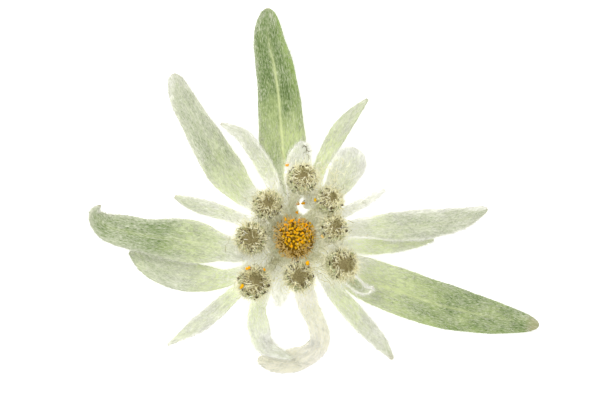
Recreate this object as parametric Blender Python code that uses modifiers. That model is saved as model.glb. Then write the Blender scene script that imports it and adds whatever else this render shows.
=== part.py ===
"""One picked edelweiss (Leontopodium nivale), lying face up on a table. Metres, +Z up.

A short cut stalk widens into a woolly crown. Nineteen felted bracts leave the side of the crown in
three tiers and spread as an uneven star, and nine flower heads stand on the crown: a large open one
in the middle and eight closed ones on short branches around it. The stalk's cut end and the tips of
the lowest bracts touch the table at z = 0. The origin is under the middle of the star.

Sizes below are in millimetres, from the flower's axis, which stands at FLOWER_AXIS.
"""

import math

import bmesh
import bpy
from mathutils import Matrix, Vector

MM = 0.001

# Where the flower's own axis stands from the middle of the star.
FLOWER_AXIS = Vector((-3.0, -7.8, 0))

# Bracts: a felted blade, thick with wool.
BRACT_THICKNESS = 0.7
BRACT_ROWS = 12  # quads along a blade
BRACT_COLUMNS = 4  # quads across it
BRACT_LEAST_HALF_WIDTH = 0.28  # at the very tip
ROOT_RADIUS = 5.25  # where a blade starts, from the axis
LOW, MIDDLE, HIGH = 4.6, 6.0, 7.4  # heights of the three tiers at the crown

# Crown and stalk.
CROWN_RADIUS = 4.9
STALK_RADIUS = 1.3
CROWN_TOP = 8.5
CROWN_SIDES = 40
BRANCH_RADIUS = 0.65
BRANCH_START_HEIGHT = 7.2  # inside the crown
BRANCH_EXIT = (3.9, 8.6)  # where a branch leaves the crown: distance from the axis, and height
KNOB_RADIUS = 0.85  # at a branch's end, under its head
GAP_CENTRE = (1.2, 4.6)  # the crown is open here, between two branches
GAP_RADIUS = 0.95
GAP_SIDES = 12

# Flower heads, in their own frame: base at z = 0, axis along +z.
SEAT_GAP = 0.3  # between a head's base and its branch, and between florets and their cup
CUP_SIDES = 22
CUP_SCALES = 11  # pointed scale tips round the rim
CUP_HEIGHT = 3.5
CUP_SEAT_HEIGHT = 2.6
CENTRE_CUP_SCALE = 1.16
CENTRE_DOME_RADIUS = 2.9
CENTRE_FLORETS = 50

GREEN = (0.42, 0.50, 0.27)
PALE_GREEN = (0.66, 0.71, 0.52)
WOOL_WHITE = (0.80, 0.81, 0.74)
STRAW = (0.55, 0.49, 0.27)
ORANGE = (0.83, 0.42, 0.02)


class Bract:
    """One blade. bearing: its root's direction from the axis, in degrees. root: (tier height, half width).
    stations: x, y, z of the midrib, half width and roll in degrees, evenly spaced from root to tip.
    tip: how blunt the end is. arch: how far the margins hang below the midrib where it is widest."""

    def __init__(self, bearing, root, tip, arch, stations, colour=PALE_GREEN):
        angle = math.radians(bearing)
        height, half_width = root
        start = (ROOT_RADIUS * math.cos(angle), ROOT_RADIUS * math.sin(angle), height, half_width, 0)
        self.stations = [start, *stations]
        self.tip = tip
        self.arch = arch
        self.colour = colour
        self.widest = max(station[3] for station in self.stations)


BRACTS = {
    "bract_top_long": Bract(103, (LOW, 1.2), tip=10, arch=0.35, colour=GREEN, stations=(
        (-1.8, 10.0, 5.1, 2.6, 0),
        (-2.2, 14.8, 5.3, 3.9, -2),
        (-2.6, 19.6, 5.0, 3.9, -4),
        (-3.0, 24.3, 4.3, 3.6, -5),
        (-3.7, 29.1, 3.2, 3.3, -6),
        (-4.7, 33.8, 1.8, 3.0, -7),
        (-4.8, 38.8, 0.3, 2.6, -6),
    )),
    "bract_upper_left_long": Bract(135, (LOW, 1.3), tip=10, arch=0.5, colour=GREEN, stations=(
        (-6.1, 5.1, 5.1, 1.9, 4),
        (-8.9, 7.3, 5.4, 2.6, 8),
        (-11.9, 11.1, 5.4, 3.1, 12),
        (-14.6, 15.1, 4.9, 2.9, 14),
        (-17.0, 19.2, 4.2, 2.6, 16),
        (-19.2, 23.5, 3.3, 2.4, 18),
        (-20.8, 27.7, 2.7, 2.1, 20),
    )),
    "bract_upper_left_slim": Bract(114, (MIDDLE, 0.9), tip=6, arch=0.3, stations=(
        (-3.6, 8.3, 6.5, 1.1, -4),
        (-5.2, 11.7, 6.9, 1.4, -8),
        (-7.0, 14.8, 6.9, 1.4, -4),
        (-9.2, 17.4, 6.4, 1.3, 8),
        (-12.8, 19.1, 5.5, 0.8, 25),
    )),
    "bract_left_slim": Bract(161, (HIGH, 0.8), tip=4, arch=0.3, stations=(
        (-8.3, 2.7, 7.8, 0.9, 0),
        (-11.2, 3.7, 7.9, 1.1, -5),
        (-14.3, 4.8, 7.6, 1.3, -10),
        (-17.5, 5.8, 6.8, 1.4, -15),
        (-20.6, 6.9, 5.7, 1.2, -20),
    )),
    "bract_left_long": Bract(187, (MIDDLE, 1.2), tip=9, arch=0.45, colour=GREEN, stations=(
        (-8.8, -1.4, 6.6, 1.5, 0),
        (-12.6, -1.5, 6.8, 2.6, 0),
        (-16.7, -1.0, 6.7, 3.7, 2),
        (-20.9, -0.4, 6.2, 3.5, 4),
        (-25.2, 0.1, 5.4, 2.9, 6),
        (-28.9, 0.8, 4.7, 2.8, 8),
        (-32.1, 1.7, 4.6, 2.5, 12),
        (-34.1, 3.9, 5.6, 1.4, 25),
        (-33.7, 5.3, 7.0, 0.6, 40),
    )),
    "bract_left_lower": Bract(212, (LOW, 1.1), tip=4, arch=0.4, colour=GREEN, stations=(
        (-8.5, -5.3, 5.0, 1.2, 0),
        (-11.9, -6.6, 4.9, 1.7, -2),
        (-15.3, -7.0, 4.3, 2.1, -4),
        (-18.7, -6.6, 3.3, 2.5, -4),
        (-22.1, -5.7, 2.1, 2.6, -3),
        (-25.5, -4.2, 0.9, 2.4, 0),
        (-28.6, -2.6, 0.3, 1.4, 5),
    )),
    "bract_lower_left_slim": Bract(221, (MIDDLE, 0.8), tip=3, arch=0.3, stations=(
        (-7.0, -6.5, 6.5, 1.0, 3),
        (-9.6, -8.8, 6.5, 1.1, 6),
        (-12.4, -11.5, 6.0, 1.4, 10),
        (-15.0, -13.9, 5.1, 1.7, 15),
        (-18.0, -16.0, 4.0, 1.7, 22),
        (-21.9, -18.5, 2.8, 1.0, 30),
    )),
    "bract_bottom_left_slim": Bract(246, (MIDDLE, 0.8), tip=4, arch=0.3, stations=(
        (-4.8, -8.2, 6.4, 1.0, 2),
        (-6.4, -11.7, 6.1, 1.3, 5),
        (-6.5, -15.3, 5.1, 1.8, 8),
        (-5.6, -18.2, 4.0, 1.6, 12),
        (-3.6, -19.7, 3.2, 1.3, 18),
        (-0.7, -20.7, 2.9, 0.9, 25),
    )),
    "bract_bottom_hooked": Bract(283, (LOW, 1.0), tip=9, arch=0.4, stations=(
        (1.8, -8.5, 4.8, 1.3, 0),
        (2.7, -11.6, 4.3, 2.0, -3),
        (3.8, -14.6, 3.2, 1.7, -6),
        (4.1, -17.7, 2.1, 1.7, -10),
        (2.6, -19.9, 1.4, 1.8, -12),
        (-0.3, -21.1, 0.9, 2.0, -10),
        (-3.6, -21.4, 0.7, 2.0, -5),
        (-6.6, -20.7, 0.7, 1.7, 0),
    )),
    "bract_lower_right_slim": Bract(307, (MIDDLE, 0.8), tip=3, arch=0.3, stations=(
        (5.0, -7.0, 6.4, 1.1, -2),
        (7.1, -9.9, 6.4, 1.5, -5),
        (9.4, -12.8, 5.8, 1.6, -9),
        (11.8, -15.5, 4.8, 1.7, -14),
        (14.1, -18.0, 3.6, 1.7, -20),
        (16.2, -20.7, 2.6, 1.4, -25),
    )),
    "bract_right_long": Bract(333, (LOW, 1.2), tip=9, arch=0.4, colour=GREEN, stations=(
        (8.5, -4.8, 5.1, 2.0, 2),
        (12.8, -7.0, 5.3, 3.3, 3),
        (17.3, -8.9, 5.0, 3.7, 2),
        (22.3, -10.8, 4.3, 3.8, 0),
        (27.2, -12.2, 3.4, 3.5, -3),
        (32.0, -13.3, 2.4, 3.0, -6),
        (36.5, -14.2, 1.2, 2.6, -8),
        (41.1, -15.2, 0.3, 2.3, -8),
    )),
    "bract_right_under": Bract(3, (LOW, 0.9), tip=4, arch=0.3, stations=(
        (8.5, -1.2, 4.8, 1.2, 2),
        (12.2, -1.6, 4.8, 1.4, 4),
        (16.1, -1.4, 4.4, 1.4, 6),
        (19.9, -1.0, 3.7, 1.3, 8),
        (23.5, -0.5, 3.1, 0.9, 10),
    )),
    "bract_right_upper_long": Bract(11, (MIDDLE, 1.0), tip=5, arch=0.4, colour=GREEN, stations=(
        (8.5, 1.3, 6.5, 1.3, 0),
        (12.8, 1.7, 6.8, 2.0, 3),
        (17.7, 1.8, 6.8, 2.6, 6),
        (22.8, 2.2, 6.3, 2.7, 9),
        (27.9, 3.1, 5.5, 2.5, 12),
        (32.6, 5.0, 4.5, 2.0, 15),
    )),
    "bract_right_small": Bract(29, (HIGH, 0.7), tip=3, arch=0.25, stations=(
        (7.5, 3.8, 7.8, 0.7, 4),
        (10.0, 5.1, 7.9, 0.8, 8),
        (12.6, 6.4, 7.6, 0.8, 14),
        (15.4, 8.0, 7.0, 0.5, 20),
    )),
    "bract_upper_right_broad": Bract(52, (HIGH, 1.0), tip=10, arch=0.5, stations=(
        (5.3, 6.3, 7.9, 1.4, 0),
        (6.8, 8.5, 9.0, 2.1, 2),
        (8.2, 10.7, 10.6, 2.7, 5),
        (9.4, 12.8, 11.4, 3.0, 8),
        (10.5, 14.5, 10.6, 2.6, 10),
    )),
    "bract_upper_right_slim": Bract(63, (MIDDLE, 0.8), tip=4, arch=0.3, stations=(
        (3.0, 8.3, 6.5, 1.0, -2),
        (4.0, 11.9, 6.8, 1.2, -5),
        (5.5, 15.1, 6.7, 1.6, -9),
        (7.6, 18.2, 6.2, 1.7, -14),
        (9.9, 20.9, 5.5, 1.4, -18),
        (12.3, 23.5, 4.8, 1.0, -20),
    )),
    "bract_top_small": Bract(98, (HIGH, 0.8), tip=5, arch=0.35, stations=(
        (-0.2, 8.0, 7.5, 1.5, 0),
        (0.0, 10.7, 8.0, 2.0, 0),
        (0.6, 13.4, 8.5, 2.2, 0),
        (1.3, 16.2, 8.2, 1.9, 0),
    )),
    "bract_bottom_small": Bract(256, (HIGH, 0.8), tip=5, arch=0.3, stations=(
        (-2.0, -7.1, 7.5, 1.0, 0),
        (-2.6, -9.2, 7.2, 1.3, 0),
        (-2.9, -11.3, 6.6, 1.2, 0),
    )),
    "bract_right_curl": Bract(324, (HIGH, 0.8), tip=4, arch=0.3, stations=(
        (7.1, -5.3, 7.6, 0.9, 0),
        (9.5, -7.3, 7.6, 1.2, 8),
        (11.6, -8.8, 7.8, 1.1, 16),
        (13.1, -8.5, 8.8, 0.7, 30),
    )),
}


class SideHead:
    """A closed head. rim: (x, y) of its rim's middle. lean: how far its axis leans towards +x and +y, in
    degrees. base: its base's height. turn: its own turn about its axis. by: a point its branch passes."""

    def __init__(self, rim, lean, base, scale, turn, by=None):
        self.scale = scale
        self.turn = math.radians(turn)
        tilt_x, tilt_y = (math.radians(value) for value in lean)
        self.axis = Vector((math.sin(tilt_x), math.sin(tilt_y), 0))
        self.axis.z = math.sqrt(1 - self.axis.length_squared)
        foot = Vector((*rim, 0)) - self.axis * CUP_HEIGHT * scale
        self.base = Vector((foot.x, foot.y, base))
        exit_radius, exit_height = BRANCH_EXIT
        self.by = Vector((*by, 0)) if by else Vector((foot.x, foot.y, 0)).normalized() * exit_radius
        self.by.z = exit_height


SIDE_HEADS = {
    "top": SideHead(rim=(1.1, 10.0), lean=(10, 25), base=10.4, scale=0.98, turn=10, by=(-0.9, 4.6)),
    "upper_right": SideHead(rim=(5.6, 6.3), lean=(22, 20), base=10.0, scale=0.90, turn=75),
    "right": SideHead(rim=(6.4, 1.4), lean=(15, 19), base=10.3, scale=0.90, turn=40),
    "lower_right": SideHead(rim=(7.8, -4.5), lean=(22, 9), base=10.1, scale=1.02, turn=0),
    "bottom": SideHead(rim=(0.4, -6.5), lean=(4, 4), base=10.1, scale=0.95, turn=25),
    "lower_left": SideHead(rim=(-7.0, -7.8), lean=(6, 12), base=10.1, scale=1.03, turn=60),
    "left": SideHead(rim=(-7.5, -0.2), lean=(-3, 8), base=10.1, scale=1.02, turn=5),
    "upper_left": SideHead(rim=(-4.7, 5.4), lean=(3, 12), base=10.1, scale=0.93, turn=50),
}


def clear_scene():
    for obj in list(bpy.data.objects):
        bpy.data.objects.remove(obj, do_unlink=True)


def new_collection(name):
    collection = bpy.data.collections.new(name)
    bpy.context.scene.collection.children.link(collection)
    return collection


def material(name, colour, roughness=0.9):
    """A matt plant surface."""
    made = bpy.data.materials.new(name)
    made.use_nodes = True
    shader = made.node_tree.nodes["Principled BSDF"]
    shader.inputs["Base Color"].default_value = (*colour, 1)
    shader.inputs["Roughness"].default_value = roughness
    shader.inputs["Metallic"].default_value = 0
    made.diffuse_color = (*colour, 1)
    return made


def new_object(name, data, collection, surface=None):
    obj = bpy.data.objects.new(name, data)
    if surface and not data.materials:
        data.materials.append(surface)
    collection.objects.link(obj)
    return obj


def mesh_of(bm, name):
    """The bmesh as a mesh in metres, from millimetres, with its normals outwards."""
    bmesh.ops.scale(bm, vec=(MM, MM, MM), verts=bm.verts)
    mesh = bpy.data.meshes.new(name)
    bm.to_mesh(mesh)
    bm.free()
    return mesh


def through_stations(stations, share):
    """The smooth curve through evenly spaced rows of numbers, at share 0..1 of its length."""
    spans = len(stations) - 1
    index = min(int(share * spans), spans - 1)
    f = share * spans - index
    here, after = Vector(stations[index]), Vector(stations[index + 1])
    before = Vector(stations[index - 1]) if index else 2 * here - after
    beyond = Vector(stations[index + 2]) if index + 2 <= spans else 2 * after - here
    slope = after - before
    bend = 2 * before - 5 * here + 4 * after - beyond
    twist = 3 * here - before - 3 * after + beyond
    return (2 * here + slope * f + bend * f**2 + twist * f**3) / 2


def blade_point(bract, share, across):
    """A point of the blade's middle surface: share runs from root to tip, across from -1 to 1."""
    step = 0.01
    station = through_stations(bract.stations, share)
    ahead = through_stations(bract.stations, min(share + step, 1))
    behind = through_stations(bract.stations, max(share - step, 0))
    along = Vector((ahead - behind)[:3]).normalized()
    side = Vector((0, 0, 1)).cross(along).normalized()
    side = Matrix.Rotation(math.radians(station[4]), 3, along) @ side
    up = along.cross(side)
    taper = math.sqrt(max(0, 1 - share**bract.tip))
    half_width = max(station[3] * taper, BRACT_LEAST_HALF_WIDTH)
    hang = bract.arch * (half_width / bract.widest) ** 2 * across**2
    point = Vector(station[:3]) + side * across * half_width - up * hang
    point.z = max(point.z, BRACT_THICKNESS / 2)  # the table
    return point


def make_bract(name, bract, collection, surface):
    """A grid bent to the blade's form, split into triangles and thickened alike on both faces."""
    bm = bmesh.new()
    bmesh.ops.create_grid(bm, x_segments=BRACT_ROWS, y_segments=BRACT_COLUMNS, size=1)
    for vertex in bm.verts:
        along = (vertex.co.x + 1) / 2
        share = 1 - (1 - along) ** 1.3  # rows stand closer together near the tip
        vertex.co = blade_point(bract, share, vertex.co.y)
    bmesh.ops.triangulate(bm, faces=bm.faces, quad_method="FIXED")
    bmesh.ops.translate(bm, verts=bm.verts, vec=FLOWER_AXIS)
    obj = new_object(name, mesh_of(bm, name), collection, surface)
    obj.data.shade_smooth()
    wool = obj.modifiers.new("wool", "SOLIDIFY")
    wool.thickness = BRACT_THICKNESS * MM
    wool.offset = 0
    return obj


def turned(profile, sides):
    """A closed body of revolution about z: the profile runs from the axis up the outside and back."""
    bm = bmesh.new()
    ring = [bm.verts.new((radius, 0, height)) for radius, height in profile]
    edges = [bm.edges.new(pair) for pair in zip(ring, ring[1:])]
    bmesh.ops.spin(bm, geom=ring + edges, axis=(0, 0, 1), cent=(0, 0, 0), angle=math.tau, steps=sides,
                   use_merge=True)
    bmesh.ops.remove_doubles(bm, verts=bm.verts, dist=1e-4)
    bmesh.ops.recalc_face_normals(bm, faces=bm.faces)
    return bm


def evaluated_copy(obj):
    """The object's mesh with its modifiers or its curve's bevel applied."""
    bpy.context.view_layer.update()
    graph = bpy.context.evaluated_depsgraph_get()
    return bpy.data.meshes.new_from_object(obj.evaluated_get(graph), depsgraph=graph)


def joined(body, pieces, name):
    """One closed mesh of a body and the pieces that grow from it, which are then removed."""
    union = body.modifiers.new("union", "BOOLEAN")
    union.operation = "UNION"
    union.operand_type = "COLLECTION"
    union.collection = pieces
    union.solver = "EXACT"
    mesh = evaluated_copy(body)
    mesh.name = name
    for obj in [body, *pieces.objects]:
        bpy.data.objects.remove(obj, do_unlink=True)
    bpy.data.collections.remove(pieces)
    return mesh


def make_cup():
    """The woolly cup of overlapping scales under a head, with a shallow seat for its florets."""
    scale_row = (2.50, 2.3)
    rim_row = (2.28, CUP_HEIGHT)
    bm = turned([(0, 0), (1.0, 0), (2.1, 0.9), scale_row, rim_row, (1.98, 3.3), (1.9, CUP_SEAT_HEIGHT),
                 (0, CUP_SEAT_HEIGHT)], CUP_SIDES)
    for vertex in bm.verts:
        radius = vertex.co.xy.length
        wave = math.cos(CUP_SCALES * math.atan2(vertex.co.y, vertex.co.x))
        for (row_radius, _), stand_out, rise in ((rim_row, 0.1, 0.28), (scale_row, 0.08, 0)):
            if abs(radius - row_radius) < 0.01:
                vertex.co.xy *= 1 + stand_out * wave / radius
                vertex.co.z += rise * wave
    return mesh_of(bm, "cup")


def rod(collection, foot, direction, length, foot_radius, tip_radius, sides, turn=0.0):
    """One floret: a small tapered rod that stands on its foot along a direction."""
    bm = bmesh.new()
    bmesh.ops.create_cone(bm, cap_ends=True, segments=sides, radius1=foot_radius, radius2=tip_radius,
                          depth=length)
    bmesh.ops.translate(bm, verts=bm.verts, vec=(0, 0, length / 2))
    aim = Vector(direction).to_track_quat("Z", "Y").to_matrix() @ Matrix.Rotation(turn, 3, "Z")
    bmesh.ops.transform(bm, matrix=Matrix.Translation(foot) @ aim.to_4x4(), verts=bm.verts)
    return new_object("floret", mesh_of(bm, "floret"), collection)


def make_side_florets():
    """The closed head's florets: a low button, and two rings of tubes that lean out round its middle."""
    seat = CUP_SEAT_HEIGHT + SEAT_GAP
    button = turned([(0, seat), (1.6, seat), (1.66, 3.35), (1.2, 3.75), (0.6, 3.8), (0, 3.65)], 16)
    body = new_object("button", mesh_of(button, "button"), bpy.context.scene.collection)
    pieces = new_collection("florets")
    rings = (
        # count, foot radius, foot height, lean in degrees, length
        (13, 1.42, 3.15, 32, 1.75),
        (7, 0.98, 3.45, 8, 1.35),
    )
    for count, radius, height, lean, length in rings:
        for index in range(count):
            angle = math.tau * (index + 0.3 * (count % 2)) / count
            out = Vector((math.cos(angle), math.sin(angle), 0))
            tilt = math.radians(lean + 5 * math.cos(3.1 * index))
            direction = out * math.sin(tilt) + Vector((0, 0, math.cos(tilt)))
            foot = out * radius + Vector((0, 0, height))
            rod(pieces, foot, direction, length + 0.2 * math.sin(2.3 * index), 0.27, 0.24, 5, angle)
    return joined(body, pieces, "side_florets")


def make_centre_florets():
    """The open head's florets: small flared tubes all over a dome, by the golden angle."""
    golden_angle = math.pi * (3 - math.sqrt(5))
    seat = CUP_SEAT_HEIGHT * CENTRE_CUP_SCALE + SEAT_GAP
    top = 6.0
    profile = [(0, seat), (1.85, seat), (1.95, 4.2), (CENTRE_DOME_RADIUS, 4.75), (2.5, 5.35), (1.4, 5.85),
               (0, top)]
    body = new_object("dome", mesh_of(turned(profile, 18), "dome"), bpy.context.scene.collection)
    pieces = new_collection("florets")
    for index in range(CENTRE_FLORETS):
        share = math.sqrt((index + 0.5) / CENTRE_FLORETS)
        angle = index * golden_angle
        out = Vector((math.cos(angle), math.sin(angle), 0))
        lean = share * math.radians(62)
        direction = out * math.sin(lean) + Vector((0, 0, math.cos(lean)))
        foot = out * share * 0.8 * CENTRE_DOME_RADIUS + Vector((0, 0, top - 0.35 - 0.75 * share**2))
        rod(pieces, foot, direction, 1.05 + 0.12 * math.sin(5.0 * index), 0.24, 0.36, 6, angle)
    return joined(body, pieces, "centre_florets")


def tube(collection, path, radius):
    """A round tube with closed ends along a path of points, as a mesh."""
    curve = bpy.data.curves.new("tube", "CURVE")
    curve.dimensions = "3D"
    curve.bevel_depth = radius * MM
    curve.bevel_resolution = 2
    curve.use_fill_caps = True
    spline = curve.splines.new("POLY")
    spline.points.add(len(path) - 1)
    for point, place in zip(spline.points, path):
        point.co = (*(place * MM), 1)
    obj = new_object("tube", curve, collection)
    mesh = evaluated_copy(obj)
    bpy.data.objects.remove(obj, do_unlink=True)
    bm = bmesh.new()
    bm.from_mesh(mesh)
    bmesh.ops.remove_doubles(bm, verts=bm.verts, dist=1e-6)
    bmesh.ops.recalc_face_normals(bm, faces=bm.faces)
    bm.to_mesh(mesh)
    bm.free()
    return new_object("tube", mesh, collection)


def make_branch(collection, head):
    """A short woolly branch, from inside the crown to a knob just under a head."""
    knob = head.base - head.axis * (SEAT_GAP + KNOB_RADIUS)
    start = Vector((head.by.x * 0.4, head.by.y * 0.4, BRANCH_START_HEIGHT))
    tube(collection, [FLOWER_AXIS + point for point in (start, head.by, knob)], BRANCH_RADIUS)

    bm = bmesh.new()
    bmesh.ops.create_uvsphere(bm, u_segments=8, v_segments=5, radius=KNOB_RADIUS)
    aim = head.axis.to_track_quat("Z", "Y").to_matrix().to_4x4()
    bmesh.ops.transform(bm, matrix=Matrix.Translation(FLOWER_AXIS + knob) @ aim, verts=bm.verts)
    new_object("knob", mesh_of(bm, "knob"), collection)


def make_crown(collection, surface):
    """The cut stalk, the woolly crown that carries the bracts, and the branches to the side heads."""
    bm = turned([(0, 0), (STALK_RADIUS, 0), (STALK_RADIUS - 0.1, 2.0), (2.3, 3.2), (4.4, 3.9),
                 (CROWN_RADIUS, 4.4), (CROWN_RADIUS, 7.6), (4.5, 8.1), (2.6, CROWN_TOP), (0, CROWN_TOP)],
                CROWN_SIDES)
    bmesh.ops.translate(bm, verts=bm.verts, vec=FLOWER_AXIS)
    crown = new_object("crown", mesh_of(bm, "crown"), bpy.context.scene.collection)

    bm = bmesh.new()
    bmesh.ops.create_cone(bm, cap_ends=True, segments=GAP_SIDES, radius1=GAP_RADIUS, radius2=GAP_RADIUS,
                          depth=30)
    bmesh.ops.translate(bm, verts=bm.verts, vec=FLOWER_AXIS + Vector((*GAP_CENTRE, 0)))
    cutter = new_object("gap", mesh_of(bm, "gap"), bpy.context.scene.collection)
    cut = crown.modifiers.new("gap", "BOOLEAN")
    cut.operation = "DIFFERENCE"
    cut.object = cutter
    cut.solver = "EXACT"
    crown.data = evaluated_copy(crown)
    crown.modifiers.clear()
    bpy.data.objects.remove(cutter, do_unlink=True)

    branches = new_collection("branches")
    for head in SIDE_HEADS.values():
        make_branch(branches, head)
    return new_object("crown", joined(crown, branches, "crown"), collection, surface)


def place(obj, base, axis, turn, scale):
    """Stand a head's piece on its base, along its axis."""
    aim = axis.to_track_quat("Z", "Y").to_matrix() @ Matrix.Rotation(turn, 3, "Z")
    stand = Matrix.Translation((FLOWER_AXIS + base) * MM)
    obj.matrix_world = stand @ aim.to_4x4() @ Matrix.Diagonal((scale, scale, scale, 1))


def main():
    clear_scene()
    flower = new_collection("edelweiss")
    green = material("bract_green", GREEN)
    pale = material("bract_pale", PALE_GREEN)
    wool = material("wool", WOOL_WHITE, 1.0)
    straw = material("straw", STRAW, 0.7)
    orange = material("orange", ORANGE, 0.6)

    for name, bract in BRACTS.items():
        make_bract(name, bract, flower, green if bract.colour == GREEN else pale)

    make_crown(flower, wool)

    cup = make_cup()
    side_florets = make_side_florets()
    for name, head in SIDE_HEADS.items():
        stand = (head.base, head.axis, head.turn, head.scale)
        place(new_object(f"head_{name}_cup", cup, flower, wool), *stand)
        place(new_object(f"head_{name}_florets", side_florets, flower, straw), *stand)
    base = Vector((0, 0, CROWN_TOP + SEAT_GAP))
    upright = Vector((0, 0, 1))
    place(new_object("head_centre_cup", cup, flower, wool), base, upright, 0, CENTRE_CUP_SCALE)
    place(new_object("head_centre_florets", make_centre_florets(), flower, orange), base, upright, 0, 1)


main()
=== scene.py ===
"""The looks of one picked edelweiss that lies face up on a white table.

Sizes are in millimetres, measured from the flower's own axis, and become metres as a mesh is made.
"""

import math

import bmesh
import bpy
import numpy as np
from mathutils import Matrix, Vector, noise


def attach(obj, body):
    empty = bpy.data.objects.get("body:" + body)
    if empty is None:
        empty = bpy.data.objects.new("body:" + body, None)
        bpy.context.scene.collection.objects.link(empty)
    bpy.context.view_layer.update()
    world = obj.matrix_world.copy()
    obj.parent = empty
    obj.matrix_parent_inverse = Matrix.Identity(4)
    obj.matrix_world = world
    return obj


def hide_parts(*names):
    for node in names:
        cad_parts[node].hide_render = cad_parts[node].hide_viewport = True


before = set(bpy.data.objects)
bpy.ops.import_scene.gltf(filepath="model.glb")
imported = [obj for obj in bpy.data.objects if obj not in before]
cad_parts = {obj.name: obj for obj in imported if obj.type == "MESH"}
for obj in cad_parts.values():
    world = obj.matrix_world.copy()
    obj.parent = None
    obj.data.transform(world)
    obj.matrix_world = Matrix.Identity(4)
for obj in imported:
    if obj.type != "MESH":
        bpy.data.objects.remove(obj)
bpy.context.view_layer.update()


# ------------
# The table and the light. A white table under a white sky, bright enough for thin white bracts to
# glow, with one broad soft lamp high on the left that gives the blades and the heads a little form.

MM = 0.001
TABLE_WIDTH = 900
TABLE_WHITE = (0.9, 0.9, 0.9, 1)
TABLE_GLOW = 0.5556
SKY_STRENGTH = 0.95
LAMP_PLACE = (-260, 160, 450)
LAMP_SIZE = 320
LAMP_POWER = 1.1
WHITE, BLACK = (1, 1, 1, 1), (0, 0, 0, 1)


def set_inputs(tree, node, inputs):
    """Gives a node's inputs their values, or links them to other nodes' outputs."""
    for key, value in inputs.items():
        if isinstance(value, bpy.types.NodeSocket):
            tree.links.new(value, node.inputs[key])
        else:
            node.inputs[key].default_value = value


def add_node(tree, kind, inputs, **settings):
    """A shader node with its settings and inputs."""
    made = tree.nodes.new("ShaderNode" + kind)
    for key, value in settings.items():
        setattr(made, key, value)
    set_inputs(tree, made, inputs)
    return made


def mixed(tree, share, first, second):
    """A colour between two others."""
    return add_node(tree, "Mix", {0: share, 6: first, 7: second}, data_type="RGBA").outputs[2]


def new_finish(name):
    """A new material and its nodes."""
    made = bpy.data.materials.new(name)
    made.use_nodes = True
    return made, made.node_tree


def coat(tree, colour, roughness, specular, glow=None, relief=None):
    """Sets a finish's shader. glow is the light the surface gives off, as one strength or as a node's
    output: the table's even brightness, or painted light on the flower's parts; relief is its height,
    how strong it is and how deep."""
    inputs = {"Base Color": colour, "Roughness": roughness, "Specular IOR Level": specular}
    if glow is not None:
        even = isinstance(glow, float)
        inputs["Emission Color"] = colour if even else mixed(tree, glow, BLACK, colour)
        inputs["Emission Strength"] = glow if even else 1
    if relief:
        height, strength, depth = relief
        bump = add_node(tree, "Bump", {"Height": height, "Strength": strength, "Distance": depth * MM})
        inputs["Normal"] = bump.outputs["Normal"]
    set_inputs(tree, tree.nodes["Principled BSDF"], inputs)


def mesh_of(bm):
    """A bmesh as a mesh; the bmesh is freed."""
    mesh = bpy.data.meshes.new("form")
    bm.to_mesh(mesh)
    bm.free()
    return mesh


def new_object(name, data):
    made = bpy.data.objects.new(name, data)
    bpy.context.scene.collection.objects.link(made)
    return made


bm = bmesh.new()
bmesh.ops.create_grid(bm, x_segments=1, y_segments=1, size=TABLE_WIDTH / 2 * MM)
table = new_object("table", mesh_of(bm))
table_white, tree = new_finish("table_white")
coat(tree, TABLE_WHITE, 0.9, 0.5, TABLE_GLOW)
table.data.materials.append(table_white)

sky = bpy.data.worlds.new("sky")
sky.use_nodes = True
background = sky.node_tree.nodes["Background"]
set_inputs(sky.node_tree, background, {"Color": WHITE, "Strength": SKY_STRENGTH})
bpy.context.scene.world = sky

lamp_light = bpy.data.lights.new("lamp", "AREA")
lamp_light.shape = "DISK"
lamp_light.size = LAMP_SIZE * MM
lamp_light.energy = LAMP_POWER
lamp = new_object("lamp", lamp_light)
lamp.location = Vector(LAMP_PLACE) * MM
lamp.rotation_euler = (-lamp.location).to_track_quat("-Z", "Y").to_euler()

bpy.context.scene.view_settings.view_transform = "Standard"
bpy.context.scene.view_settings.look = "None"


# ------------
# The camera. It stands high over the flower and looks straight down with a long lens; the picture is
# 612 pixels wide, and 0.17 mm a pixel at the height of the bracts.

PICTURE_WIDTH = 612
PIXEL = 0.17
BRACT_LEVEL = 5
CAMERA_PLACE = (-1.3, -2.1, 578)
SENSOR_WIDTH = 36

lens = bpy.data.cameras.new("camera")
lens.sensor_width = SENSOR_WIDTH
lens.lens = SENSOR_WIDTH * (CAMERA_PLACE[2] - BRACT_LEVEL) / (PICTURE_WIDTH * PIXEL)
camera = new_object("camera", lens)
camera.location = Vector(CAMERA_PLACE) * MM
bpy.context.scene.camera = camera


# ------------
# The bracts. Each is a soft grey-green blade, about half a millimetre thick with its felt, which
# leaves the side of the crown in one of three tiers; a pale rib runs down its middle in a groove.

FLOWER_AXIS = np.array([-3, -7.8, 0])  # the axis of the stalk, from the middle of the star
BLADE_THICKNESS = 0.45
BLADE_ROWS, BLADE_COLUMNS = 32, 10
LEAST_HALF_WIDTH = 0.22
RAGGED_EDGE = 0.006  # of the half width
RIPPLE = 0.09
GROOVE_DEPTH, GROOVE_WIDTH = 0.13, 0.3
ROOT_RADIUS = 5.25
LOW, MIDDLE, HIGH = 4.6, 6, 7.4  # the heights of the three tiers


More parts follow.
